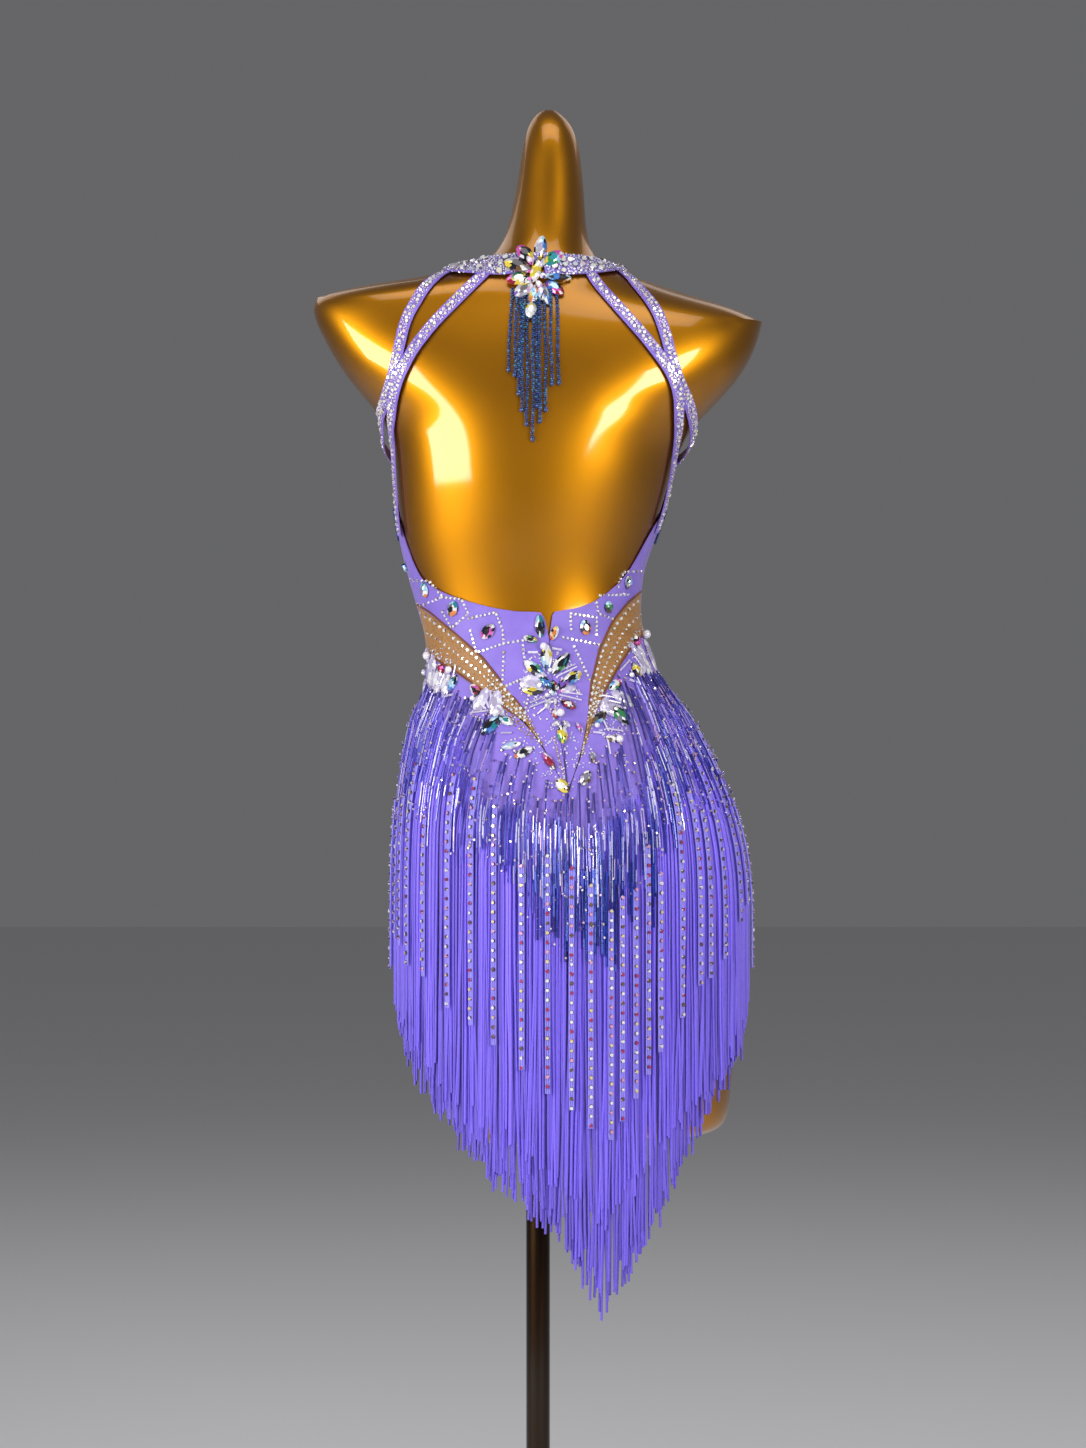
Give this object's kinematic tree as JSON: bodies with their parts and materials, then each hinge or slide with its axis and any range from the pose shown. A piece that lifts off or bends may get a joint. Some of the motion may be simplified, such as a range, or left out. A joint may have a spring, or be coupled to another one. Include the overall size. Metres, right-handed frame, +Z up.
{
  "type": "salsa dance dress on a limbless dress form",
  "caption": "Backless lavender salsa dress with a crystal collar, crossed straps, mesh inserts and a pointed cord fringe, on a gold dress form with a stand.",
  "frame": {"origin": "the middle of the base plate's underside, on the floor, on the pole's axis", "axes": "+Z up; the open back of the dress faces -Y; +X is the wearer's right"},
  "size_m": [0.4575, 0.38, 1.597],
  "materials": {
    "dress_cloth": "satin stretch crepe, lavender",
    "mesh_cloth": "fine bare-look stretch mesh",
    "fringe_cord": "smooth round stretch cord, soft sheen",
    "navy_beads": "navy seed beads",
    "crystal": "foil-backed crystal with a rainbow coating",
    "gold_lacquer": "polished gold lacquer on moulded plastic",
    "bronze_paint": "dark bronze satin paint"
  },
  "bodies": {
    "root": {"applique_centre": "crystal", "applique_left_hip": "crystal", "applique_left_inner": "crystal", "applique_point": "crystal", "applique_right_hip": "crystal", "applique_right_inner": "crystal", "back_strap_left": "dress_cloth", "back_strap_right": "dress_cloth", "back_waist_left": "dress_cloth", "back_waist_right": "dress_cloth", "base_plate": "bronze_paint", "brooch": "crystal", "brooch_tassel": "navy_beads", "bust_tassel_left": "navy_beads", "bust_tassel_right": "navy_beads", "collar_band": "dress_cloth", "form": "gold_lacquer", "fringe_over_left": "fringe_cord", "fringe_over_right": "fringe_cord", "fringe_under_left": "fringe_cord", "fringe_under_right": "fringe_cord", "front_bodice": "dress_cloth", "mesh_insert_left": "mesh_cloth", "mesh_insert_right": "mesh_cloth", "pole": "bronze_paint", "shoulder_strap_left": "dress_cloth", "shoulder_strap_right": "dress_cloth", "skirt_back_left": "dress_cloth", "skirt_back_right": "dress_cloth", "skirt_front": "dress_cloth"}
  },
  "joints": []
}
